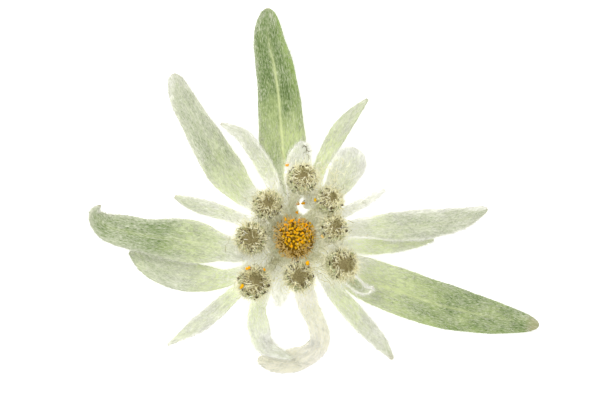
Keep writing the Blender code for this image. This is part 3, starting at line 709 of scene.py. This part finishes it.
bm = bmesh.new()
bm.from_mesh(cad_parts["crown"].data)
bmesh.ops.remove_doubles(bm, verts=bm.verts, dist=1e-6)
shell = new_object("crown_shell", mesh_of(bm))
remesh = shell.modifiers.new("remesh", "REMESH")
remesh.mode = "VOXEL"
remesh.voxel_size = CROWN_VOXEL * MM
smooth = shell.modifiers.new("smooth", "SMOOTH")
smooth.iterations = 4
crown_mesh = bpy.data.meshes.new_from_object(shell.evaluated_get(bpy.context.evaluated_depsgraph_get()))
bpy.data.objects.remove(shell)
for vertex in crown_mesh.vertices:
    lumps = noise.fractal(vertex.co * 900, 1, 2, 3)
    vertex.co += vertex.normal * lumps * CROWN_LUMPS * MM
    aside = (np.array(vertex.co) / MM - FLOWER_AXIS)[:2] - GAP_CENTRE
    nearness = max(0, 1 - np.linalg.norm(aside / GAP_SPREAD) / GAP_PUSH_REACH)
    vertex.co += Vector((*aside, 0)) * nearness * GAP_PUSH * MM
    vertex.co.z = max(vertex.co.z, 0)
add_piece("crown_knot", crown_mesh, wool_skin, "wool", "crown")

count = CROWN_WOOL
rng = np.random.default_rng(11)
roots, out = scatter(crown_mesh, count, rng)
length = rng.uniform(0.6, 1.6, count) * np.where(from_gap(roots) < 1.5, 0.6, 1)
heading = out + 0.9 * around(rng, count)
threads = grow(3, roots, heading, around(rng, count), rng.uniform(0.5, 2.4, count), length,
               CROWN_WOOL_RADIUS)
threads[0][:, 2] = np.maximum(threads[0][:, 2], 0.02)
batches = [hairs_of(threads, rng.uniform(0.3, 1.1, count))]
add_piece("crown_wool", joined(batches), tangled_wool, "wool")


# ------------
# The cups of the heads. Each is an egg of green bracts in three close rows, grown together under
# wool; their papery tips dry dark brown and stand along the rim.

CUP_HEIGHT = 3.5
CUP_OUTSIDE = (
    (0, 0), (0.6, 0.02), (1.2, 0.14), (1.75, 0.5), (2.15, 1.1), (2.38, 1.8), (2.42, 2.5),
    (2.3, 3.1), (2.1, 3.4),
)
CUP_INSIDE = ((1.95, 3.3), (1.9, 2.9), (1.2, 2.6), (0, 2.6))
CUP_STEPS = 44
SCALE_ROWS = ((0.5, 1.5, 0), (1.3, 1.6, 0.5), (2.1, 1.8, 0))  # foot's height, length, offset
SCALES_IN_ROW = 11
SCALE_HALF_WIDTH = 0.62
SCALE_THICKNESS = 0.07
CUP_HAIRS = 750
UP = np.array([0, 0, 1])


class Head:
    """One flower head: where its rim's middle stands, how it leans in degrees towards x and y, the
    height of its foot, its size, the turn about its axis, how far its dark eye is off its middle and how
    wide the eye is, and how bleached its threads are."""

    def __init__(self, rim, lean, base, scale, turn, eye, bleach=0):
        tilt_x, tilt_y = (math.sin(math.radians(angle)) for angle in lean)
        axis = Vector((tilt_x, tilt_y, math.sqrt(1 - tilt_x**2 - tilt_y**2)))
        aim = axis.to_track_quat("Z", "Y").to_matrix() @ Matrix.Rotation(math.radians(turn), 3, "Z")
        self.aim, self.scale, self.bleach = np.array(aim), scale, bleach
        self.foot = FLOWER_AXIS + (*rim, 0) - np.array(axis) * CUP_HEIGHT * scale
        self.foot[2] = base
        self.eye = np.array([*eye[:2], 0]) @ self.aim * (1, 1, 0)
        self.eye_radius = eye[2]

    def place(self, points):
        """Points of a head that stands upright on the origin, where they are on the flower."""
        return points * self.scale @ self.aim.T + self.foot

    def grow(self, joints, roots, heading, *shape, **end):
        """Threads from roots and headings on the upright head."""
        return grow(joints, self.place(roots), heading @ self.aim.T, *shape, **end)


HEADS = {
    "top": Head((1.25, 10.15), (10, 25), 10.4, 0.98, 10, eye=(0.3, 0.9, 0.8), bleach=0.1),
    "upper_right": Head((5.8, 6.4), (22, 20), 10, 0.90, 75, eye=(0.7, 0.65, 0.85), bleach=0.06),
    "right": Head((6.35, 1.65), (15, 19), 10.3, 0.90, 40, eye=(0.6, 0.8, 1), bleach=0.02),
    "lower_right": Head((7.95, -4.4), (22, 9), 10.1, 1.02, 0, eye=(0.8, -0.2, 1.35)),
    "bottom": Head((0.55, -6.4), (4, 4), 10.1, 0.95, 25, eye=(0.2, -0.05, 1.3), bleach=-0.08),
    "lower_left": Head((-7, -7.5), (6, 12), 10.1, 1.03, 60, eye=(0.3, 0.6, 1.15), bleach=-0.08),
    "left": Head((-7.5, -0.05), (-3, 8), 10.1, 1.02, 5, eye=(0, 0.2, 1.4), bleach=-0.1),
    "upper_left": Head((-4.7, 5.55), (3, 12), 10.1, 0.93, 50, eye=(0.2, 0.55, 1.05)),
}
CENTRE = Head((0, 0), (0, 0), 8.8, 1.16, 0, eye=(0, 0, 1))

scale_green, tree = new_finish("scale_green")
flecks = noise_through(tree, 1600, 4)
colour = mixed(tree, flecks, paint(150, 160, 104), paint(206, 208, 168))
dryness = ramp(tree, stirred(tree, attribute(tree, "dry"), flecks, 0.5),
               ((0.5, 0, 0, 0), (0.72, 255, 255, 255)))
coat(tree, mixed(tree, dryness, colour, paint(56, 38, 16)), 0.8, 0.1, relief=(flecks, 0.6, 0.05))


def cup_radius(height):
    """The radius of a cup's outside at a height."""
    radii, heights = zip(*CUP_OUTSIDE)
    return np.interp(height, heights, radii)


def cup_form():
    """The spun shell of a cup, closed by its inner floor."""
    bm = bmesh.new()
    profile = [bm.verts.new((radius, 0, height)) for radius, height in CUP_OUTSIDE + CUP_INSIDE]
    edges = [bm.edges.new(pair) for pair in zip(profile, profile[1:])]
    bmesh.ops.spin(bm, geom=profile + edges, cent=(0, 0, 0), axis=(0, 0, 1), angle=2 * math.pi,
                   steps=CUP_STEPS, use_merge=True)
    bmesh.ops.remove_doubles(bm, verts=bm.verts, dist=1e-4)
    bmesh.ops.recalc_face_normals(bm, faces=bm.faces)
    return form_of(bm)


def scale_form():
    """A thin pointed leaf from 0 to 1 along X and -1 to 1 across, closed all round."""
    bm = bmesh.new()
    bmesh.ops.create_grid(bm, x_segments=5, y_segments=2, size=1)
    bmesh.ops.translate(bm, verts=bm.verts, vec=(1, 0, 0))
    bmesh.ops.scale(bm, verts=bm.verts, vec=(0.5, 1, 1))
    for vertex in bm.verts:
        vertex.co.y *= 0.75 + 0.6 * vertex.co.x - 1.27 * vertex.co.x ** 2.2
    bmesh.ops.solidify(bm, geom=bm.faces[:], thickness=SCALE_THICKNESS)
    bmesh.ops.recalc_face_normals(bm, faces=bm.faces)
    return form_of(bm)


def outward_at(angle):
    """Directions away from an axis at angles round it."""
    return np.stack([np.cos(angle), np.sin(angle), np.zeros(len(angle))], axis=1)


cup_points, cup_faces = cup_form()
scale_points, scale_faces = scale_form()
rise, width = scale_points[:, 0], scale_points[:, 1] * SCALE_HALF_WIDTH
for name, head in {**HEADS, "centre": CENTRE}.items():
    rng = np.random.default_rng(len(name) * 7)
    batches = [(head.place(cup_points), cup_faces, {"dry": np.zeros(len(cup_points))})]
    for foot, whole, offset in SCALE_ROWS:
        for number in range(SCALES_IN_ROW):
            angle = 2 * math.pi * (number + offset + rng.uniform(-0.12, 0.12)) / SCALES_IN_ROW
            height = foot + whole * rng.uniform(0.85, 1.15) * rise
            away = rng.uniform(-0.35, 0.35)
            radius = cup_radius(np.minimum(height, 3.2)) + 0.1 + away * rise**3 + scale_points[:, 2]
            points = outward_at(angle + width / 2.4) * radius[:, None] + UP * height[:, None]
            dry = rise * (rng.choice([0.45, 1], p=[0.55, 0.45]) if foot > 1 else 0.5)
            batches.append((head.place(points), scale_faces, {"dry": dry}))
    add_piece(f"head_{name}_cup_scales", joined(batches), scale_green, "bract_pale", f"head_{name}_cup")
    # wool round the cup
    count = CUP_HAIRS
    outward = outward_at(rng.uniform(0, 2 * math.pi, count))
    height = 3.3 * rng.uniform(0, 1, count) ** 0.7
    roots = outward * (cup_radius(height) + 0.05)[:, None] + UP * height[:, None]
    heading = outward + 0.5 * UP + 0.8 * around(rng, count)
    threads = head.grow(3, roots, heading, around(rng, count), rng.uniform(0.3, 2, count),
                        rng.uniform(0.7, 1.9, count), CROWN_WOOL_RADIUS)
    batches = [hairs_of(threads, rng.uniform(0.35, 1, count))]
    add_piece(f"head_{name}_wool", joined(batches), tangled_wool, "wool")


# ------------
# The florets of the eight side heads. A ring of thin straw threads, dried and curled, stands round a
# dull eye of florets that are still closed.

FLORET_SEAT = 2.75
EYE_FLORETS = 430  # for an eye of 1 mm radius
EYE_LIFT, EYE_DOME = 0.75, 0.45  # over the seat, and how far it falls to its rim
EYE_THREAD_RADIUS = 0.038
RING_RADIUS = 2.05
# painted shade and light: the low threads are darkest and those on top palest, over the threads' own
# mixed straw tones
RING_THREADS = (  # number, darkest and lightest tone, lift, how flat they lie
    (90, 0.15, 0.5, 0, 0),  # the dark ones, low
    (110, 0.45, 1, 0.2, 0),  # the pale ones over them
    (120, 0.65, 1.4, 0.45, 1),  # some that lie on top
)
STRAW_RADIUS = 0.052
SCORCHED_ENDS = 15
RIM_BRISTLES = 80
BRISTLE_RADIUS = 0.03

straw_thread, tree = new_finish("straw_thread")
colour = ramp(tree, attribute(tree, "tone"), (
    (0, 58, 34, 6), (0.1, 92, 80, 40), (0.22, 124, 114, 76), (0.35, 160, 150, 102),
    (0.67, 216, 208, 154), (1, 255, 252, 220)))
# painted light: an even glow brightens the threads in the shade of the rings
coat(tree, colour, 0.6, 0.15, 0.16)


def ring_of(rng, count, least, most):
    """Random outward directions round an axis, and distances from it, even by area."""
    outward = outward_at(rng.uniform(0, 2 * math.pi, count))
    return outward, np.sqrt(rng.uniform(least**2, most**2, count))


def seat_form(radius, height, foot):
    """A shallow dome on a foot, closed below; its points, triangles and number of points."""
    bm = bmesh.new()
    bmesh.ops.create_uvsphere(bm, u_segments=28, v_segments=14, radius=1)
    for vertex in bm.verts:
        lifted = height if vertex.co.z > 0 else foot
        vertex.co = (vertex.co.x * radius, vertex.co.y * radius, vertex.co.z * lifted)
    points, faces = form_of(bm)
    return points, faces, len(points)


def toned(threads, tone, change=0):
    """A batch of threads with a tone for each, and any change of it along them; that change is painted
    shade and light, darker at the root and paler at the tip.
    """
    points, faces, size = threads
    each = np.broadcast_to(tone, len(points) // size)
    return points, faces, {"tone": np.repeat(each, size) + change}


seat_points, seat_faces, seat_size = seat_form(1.88, 1, 0.3)
for name, head in HEADS.items():
    rng = np.random.default_rng(len(name) * 13 + 1)
    # painted shade: the seat's dark tone shows as shade in the gaps between the threads
    batches = [toned((head.place(seat_points + UP * 2.9), seat_faces, seat_size), 0.22)]
    # the eye: closed florets, short and dull
    count = int(EYE_FLORETS * head.eye_radius**2)
    outward, distance = ring_of(rng, count, 0, head.eye_radius)
    share = distance / head.eye_radius
    centre = head.eye + UP * (FLORET_SEAT + EYE_LIFT)
    roots = centre + outward * distance[:, None] - UP * (EYE_DOME * share**2)[:, None]
    heading = UP + outward * (0.5 * share)[:, None] + 0.35 * around(rng, count)
    threads = head.grow(1, roots, heading, around(rng, count), 0, rng.uniform(0.45, 0.8, count),
                        EYE_THREAD_RADIUS, tip=0.5)
    batches.append(toned(threads, np.clip(rng.normal(0.37, 0.12, count) + 0.2 * share, 0.05, 0.8)))
    # the ring of dried threads
    for count, low, high, lift, flat in RING_THREADS:
        least = head.eye_radius - 0.25
        outward, distance = ring_of(rng, count, least, RING_RADIUS)
        share = (distance - least) / (RING_RADIUS - least)
        height = FLORET_SEAT + lift + 0.75 - 0.7 * share**2
        roots = outward * distance[:, None] + UP * height[:, None] + head.eye * (1 - share)[:, None]
        tangent = np.cross(UP, outward)
        swirl = rng.normal(0, 0.7 + flat, count)[:, None]
        lean = (0.3 + 1.3 * share * rng.uniform(0.2, 1.2, count))[:, None] + flat * 0.8
        heading = UP * (1 - 0.8 * flat) + outward * lean + tangent * swirl
        towards = outward * rng.normal(0.3, 0.8, count)[:, None]
        towards = towards + tangent * rng.normal(0, 1, count)[:, None] - 0.5 * UP
        turn = rng.uniform(0.6, 2.6, count)
        length = head.scale * rng.uniform(0.9, 1.5 + 0.6 * flat, count)
        radius = STRAW_RADIUS * rng.uniform(0.7, 1.2, count)
        threads = head.grow(5, roots, heading, towards @ head.aim.T, turn, length, radius, tip=0.45)
        tone = rng.uniform(low, high, count) + head.bleach
        # painted shade and light along each thread: darker at its root, paler at its tip
        batches.append(toned(threads, tone, 0.3 * (heights_in(5, 0.45, count) - 0.5)))
    # withered ends, dark brown, most of them on one side of the rim
    count = SCORCHED_ENDS
    outward = outward_at(rng.normal(rng.uniform(0, 2 * math.pi), 1.3, count))
    distance = rng.uniform(1.3, 2.25, count)[:, None]
    roots = outward * distance + UP * (FLORET_SEAT + 1.35 - 0.35 * (distance - 1.3))
    heading = around(rng, count) + 0.5 * UP
    threads = head.grow(2, roots, heading, around(rng, count), 0.8, rng.uniform(0.25, 0.55, count),
                        rng.uniform(0.06, 0.12, count), tip=0.6)
    batches.append(toned(threads, rng.uniform(0, 0.09, count)))
    # fine bristles that stand out all round the rim
    count = RIM_BRISTLES
    outward, distance = ring_of(rng, count, 1.8, 2.2)
    roots = outward * distance[:, None] + UP * 3.2
    heading = outward + 0.35 * UP + 0.5 * around(rng, count)
    threads = head.grow(3, roots, heading, around(rng, count), rng.uniform(0.2, 1.2, count),
                        rng.uniform(0.7, 1.5, count), BRISTLE_RADIUS)
    batches.append(toned(threads, rng.uniform(0.2, 1.1, count)))
    add_piece(f"head_{name}_threads", joined(batches), straw_thread, "straw", f"head_{name}_florets")


# ------------
# The florets of the middle head. Open orange florets with five points crowd its dome, each loaded
# with grains of pollen, inside a ring of spent ones that have shrunk to brown threads.

OPEN_FLORETS = 125
OPEN_RADIUS = 2.75
OPEN_STRAY = 0.26
OPEN_LOST = 0.08  # the share that has dropped off
OPEN_MIDDLE = np.array([0.25, 0.85, 0])  # the open florets lie off the middle
HOLE, HOLE_RADIUS = np.array([-0.35, -1.4]), 0.35  # where one has fallen out
MIDDLE_RADIUS = 3.7
DOME_BASE = 8.8 + 3.6
DOME_RISE = 1.8
OUTLINE_BEARINGS = np.radians((-180, -135, -90, -45, 0, 45, 90, 135, 180))
OUTLINE_REACH = (1, 0.94, 0.99, 0.83, 0.95, 1.02, 1.04, 1.17, 1)  # its uneven rim, against a circle
GRAINS = 5  # on a floret
GRAIN = 0.17
SPENT_RADIUS = 0.08
# painted shade: the darkest spent florets are those that sit deep and the pale ones lie on top; the
# third row's dark threads fill the gaps among the open florets
SPENT_FLORETS = (  # number, nearest and farthest, darkest and lightest tone, how deep they sit
    (150, 2, 3.75, 0.05, 0.3, 0.2),
    (330, 2, 3.85, 0.38, 0.62, -0.1),
    (60, 0.3, 2.4, 0.05, 0.4, 0.2),
)

orange_floret, tree = new_finish("orange_floret")
dust = noise_through(tree, 5200, 3)
colour = ramp(tree, stirred(tree, attribute(tree, "tone"), dust, 0.5), (
    (0, 62, 44, 0), (0.25, 146, 112, 28), (0.5, 222, 194, 124), (0.6, 178, 140, 24),
    (0.8, 218, 172, 22), (1, 240, 166, 12)))
# painted light: an even glow lifts the shade on the dome's far side and on the pollen
coat(tree, colour, 0.7, 0.05, 0.14, (dust, 0.5, 0.04))


def star_form():
    """A floret's tube that flares to five points, on the origin, of length and radius 1."""
    bm = bmesh.new()
    bmesh.ops.create_circle(bm, cap_ends=True, segments=10, radius=0.35)
    mouth = bm.faces[:]
    for rise, widen in ((0.6, 1), (0.3, 1.5), (0.1, 1.5)):
        face = bmesh.ops.extrude_face_region(bm, geom=mouth)["geom"]
        corners = [item for item in face if isinstance(item, bmesh.types.BMVert)]
        mouth = [item for item in face if isinstance(item, bmesh.types.BMFace)]
        bmesh.ops.translate(bm, verts=corners, vec=(0, 0, rise))
        bmesh.ops.scale(bm, verts=corners, vec=(widen, widen, 1))
    for number, corner in enumerate(mouth[0].verts):
        if number % 2:
            corner.co.x *= 0.5
            corner.co.y *= 0.5
        else:
            corner.co.z += 0.08
    bmesh.ops.recalc_face_normals(bm, faces=bm.faces)
    return form_of(bm)


def grain_form():
    bm = bmesh.new()
    bmesh.ops.create_icosphere(bm, subdivisions=1, radius=1)
    return form_of(bm)


def copies(form, places, size):
    """Copies of a form at places, each of a size."""
    return repeated(form, form[0] * size[:, None, None] + places[:, None])


def facing(directions, spin):
    """Matrices that turn upright forms to their directions."""
    first = unit(np.cross(directions, [0.31, 0.95, 0.05]))
    second = np.cross(directions, first)
    a, b = np.cos(spin)[:, None], np.sin(spin)[:, None]
    return np.stack([first * a + second * b, second * a - first * b, directions], axis=2)


rng = np.random.default_rng(29)
middle = FLOWER_AXIS + [0, -0.3, DOME_BASE]
seat_points, seat_faces, seat_size = seat_form(3, 1.6, 0.4)
# painted shade: the dark seat shows as shade in the gaps between the florets and where one has fallen
# out
batches = [toned((seat_points + middle, seat_faces, seat_size), 0.1)]


def on_dome(outward, distance):
    """Places on the dome of the middle head, and the directions out of it."""
    share = distance / MIDDLE_RADIUS
    height = DOME_RISE * np.sqrt(np.clip(1 - share**2, 0, 1))
    reach = np.interp(np.arctan2(outward[:, 1], outward[:, 0]), OUTLINE_BEARINGS, OUTLINE_REACH)
    place = middle + outward * (distance * reach * 0.92)[:, None] + UP * (height * 0.9)[:, None]
    return place, unit(UP * (1.1 - share)[:, None] + outward * share[:, None])


order = np.arange(OPEN_FLORETS)
outward = outward_at(order * math.pi * (3 - math.sqrt(5)))
distance = OPEN_RADIUS * np.sqrt((order + 0.5) / OPEN_FLORETS)
spread = outward * distance[:, None] + OPEN_STRAY * around(rng, OPEN_FLORETS) + OPEN_MIDDLE
spread[:, 2] = 0
beside_hole = np.linalg.norm(spread[:, :2] - HOLE, axis=1) > HOLE_RADIUS
spread = spread[beside_hole & (rng.random(OPEN_FLORETS) > OPEN_LOST)]
count = len(spread)
distance = np.linalg.norm(spread, axis=1)
place, out = on_dome(spread / distance[:, None], np.minimum(distance, 3.6))
out = unit(out + 0.25 * around(rng, count))
size = rng.uniform(0.2, 0.32, count)
star = star_form()
turned = np.einsum("nij,pj->npi", facing(out, rng.uniform(0, 6, count)), star[0])
florets = repeated(star, turned * size[:, None, None] + (place - out * 0.25)[:, None])
batches.append(toned(florets, rng.uniform(0.1, 0.65, count)))
grains = np.repeat(place + out * rng.uniform(-0.1, 0.35, (count, 1)), GRAINS, axis=0)
grains = grains + 0.12 * around(rng, len(grains))
pollen = copies(grain_form(), grains, GRAIN * rng.uniform(0.6, 1.15, len(grains)))
ripe = rng.uniform(0.6, 0.98, count) + 0.06 * spread[:, 1]  # the upper ones are the freshest
batches.append(toned(pollen, np.repeat(ripe, GRAINS) + rng.normal(0, 0.06, len(grains))))

for count, least, most, low, high, sink in SPENT_FLORETS:
    outward, distance = ring_of(rng, count, least, most)
    place, out = on_dome(outward, np.minimum(distance, MIDDLE_RADIUS))
    heading = out * (0.4 + sink) + 0.7 * around(rng, count)
    towards = around(rng, count) + 0.4 * outward
    points, faces, size = grow(5, place - out * sink, heading, towards, rng.uniform(0.8, 3.2, count),
                               rng.uniform(0.5, 1, count), SPENT_RADIUS, tip=0.7)
    # painted shade and light along each spent floret: darker at its root, paler at its tip
    tone = np.repeat(rng.uniform(low, high, count), size) + 0.25 * (heights_in(5, 0.7, count) - 0.5)
    batches.append((points, faces, {"tone": np.clip(tone, 0, 0.52)}))
add_piece("head_centre_open_florets", joined(batches), orange_floret, "orange", "head_centre_florets")


# ------------
# The web of wool. Long fine hairs run from head to head and down to the crown, and veil the dark
# places between them.

WEB_THREADS = 2000
WEB_RADIUS = 0.022
WEB_JOINTS = 6
WEB_MIDDLE = FLOWER_AXIS + [0, 0, 10]
WEB_FOOT_SPREAD = (1.6, 1.6, 0.9)
WEB_SPAN = (2.4, 2.4, 0.7)
WEB_DRAWN_IN = 0.28  # how far the far ends are drawn to its middle
WEB_WAVE = 0.22

count = WEB_THREADS
rng = np.random.default_rng(17)
feet = np.array([head.place(UP[None] * 1.9)[0] for head in [*HEADS.values(), CENTRE]])
first = feet[rng.integers(0, len(feet), count)] + rng.normal(0, 1, (count, 3)) * WEB_FOOT_SPREAD
second = first + rng.normal(0, 1, (count, 3)) * WEB_SPAN
second = second + WEB_DRAWN_IN * (WEB_MIDDLE - second)
share = np.linspace(0, 1, WEB_JOINTS + 1)[None, :, None]
lines = first[:, None] * (1 - share) + second[:, None] * share
wave = rng.uniform(2, 6, (count, 1, 3)) * share * math.pi + rng.uniform(0, 6, (count, 1, 3))
lines = lines + WEB_WAVE * np.sin(wave)
lines = lines[(from_gap(lines.reshape(-1, 3)) >= 0.95).reshape(count, -1).all(axis=1)]
count = len(lines)
radius = WEB_RADIUS * rng.choice([1, 2.4], count, p=[0.65, 0.35])
threads = sweep(thread_form(WEB_JOINTS), lines, radius, around(rng, count))
add_piece("wool_web", joined([hairs_of(threads, rng.uniform(0.1, 1.15, count))]), tangled_wool, "wool")


# ------------
# Loose pollen. Grains from the middle head have dropped on the heads and the wool around it, in
# clumps of four.

POLLEN_PLACES = (  # place from the axis, size, freshness
    (-1.5, 12.2, 0.8, 0.95), (0.5, 5.4, 0.9, 1), (1.2, 5.6, 0.9, 1), (0.2, 4.2, 0.9, 1),
    (-8, -5.1, 1.2, 1), (-5.3, -5.4, 0.7, 0.9), (-9, -8.2, 1.2, 0.85), (2, -4.3, 1.2, 0.95),
    (4.4, 0.2, 0.9, 0.5), (3.2, 6.3, 0.8, 0.75),
)
CLUMP = 4
CLUMP_STEPS = 0.25 * np.array([(0, 0), (1, 0), (0, 1), (-1, 0), (0, -1)])
ABOVE_FLOWER = 30
LEAST_HEIGHT = 2


def top_below(spot):
    """The highest place of the flower below a spot, or nothing where only the table lies there."""
    above = Vector((*(FLOWER_AXIS[:2] + spot), ABOVE_FLOWER)) * MM
    layer = bpy.context.evaluated_depsgraph_get()
    found, place, _, _, _, _ = bpy.context.scene.ray_cast(layer, above, Vector((0, 0, -1)))
    return np.array(place) / MM if found and place.z > LEAST_HEIGHT * MM else None


bpy.context.view_layer.update()
rng = np.random.default_rng(3)
batches = []
for *spot, size, fresh in POLLEN_PLACES:
    spot = np.array(spot)
    while top_below(spot) is None:
        spot = spot + 0.1 * unit(spot - GAP_CENTRE)
    tops = [place for place in (top_below(spot + step) for step in CLUMP_STEPS) if place is not None]
    rest = np.array([*(FLOWER_AXIS[:2] + spot), max(place[2] for place in tops)])
    grains = rest + UP * 0.3 * size + 0.19 * size * around(rng, CLUMP) * [1, 1, 0.4]
    clump = copies(grain_form(), grains, size * rng.uniform(0.17, 0.28, CLUMP))
    batches.append(toned(clump, fresh + rng.normal(0, 0.05, CLUMP)))
add_piece("loose_pollen", joined(batches), orange_floret, "orange")


# ------------
# Stray curls. Some threads of the heads have come loose, pale ones and dark ones, and lie curled on the
# wool and on the bracts beside them. The dark ones round the middle head also stand for the shade
# between it and the heads round it: painted shade.

CURL_PATCHES = (  # middle, spread, number, longest, darkest and lightest tone
    ((6.1, 10.3), (1.3, 1.2), 60, 2.6, 0.8, 1.2),
    ((1.9, 14.3), (0.3, 0.8), 14, 1.4, 0, 0.4),
    ((3, 11.4), (0.7, 0.9), 22, 2.4, 0.7, 1.1),
    ((9.4, -7.6), (0.8, 0.7), 12, 2.4, 0.6, 1.1),
    # these four dark patches lie between the middle head and the heads round it: loose threads, and
    # painted shade there
    ((-3.9, 2.6), (1, 1.3), 26, 2.4, 0.1, 0.5),
    ((-3.8, -4.2), (1.2, 1.2), 25, 2.4, 0.1, 0.5),
    ((4.2, -4.6), (1.3, 1.3), 27, 2.4, 0.15, 0.55),
    ((3.4, 3.6), (1.2, 1.2), 24, 2.4, 0.15, 0.55),
    ((0, 0), (5.5, 5.5), 120, 2.6, 0.5, 1.2),
)
CURL_RADIUS = 0.045

batches = []
for patch, spread, count, longest, low, high in CURL_PATCHES:
    rng = np.random.default_rng(count)
    spots = np.array(patch) + rng.normal(0, 1, (count, 2)) * spread
    spots = spots[np.linalg.norm(spots, axis=1) > MIDDLE_RADIUS + 0.8]
    roots = np.array([place for place in map(top_below, spots) if place is not None])
    count = len(roots)
    heading = around(rng, count) * [1, 1, 0.2] + UP * 0.3
    threads = grow(6, roots, heading, around(rng, count) * [1, 1, 0.3] - 0.1 * UP,
                   rng.uniform(1.2, 3.6, count), rng.uniform(1, longest, count), CURL_RADIUS, tip=0.4)
    batches.append(toned(threads, rng.uniform(low, high, count)))
add_piece("stray_curls", joined(batches), straw_thread, "straw")
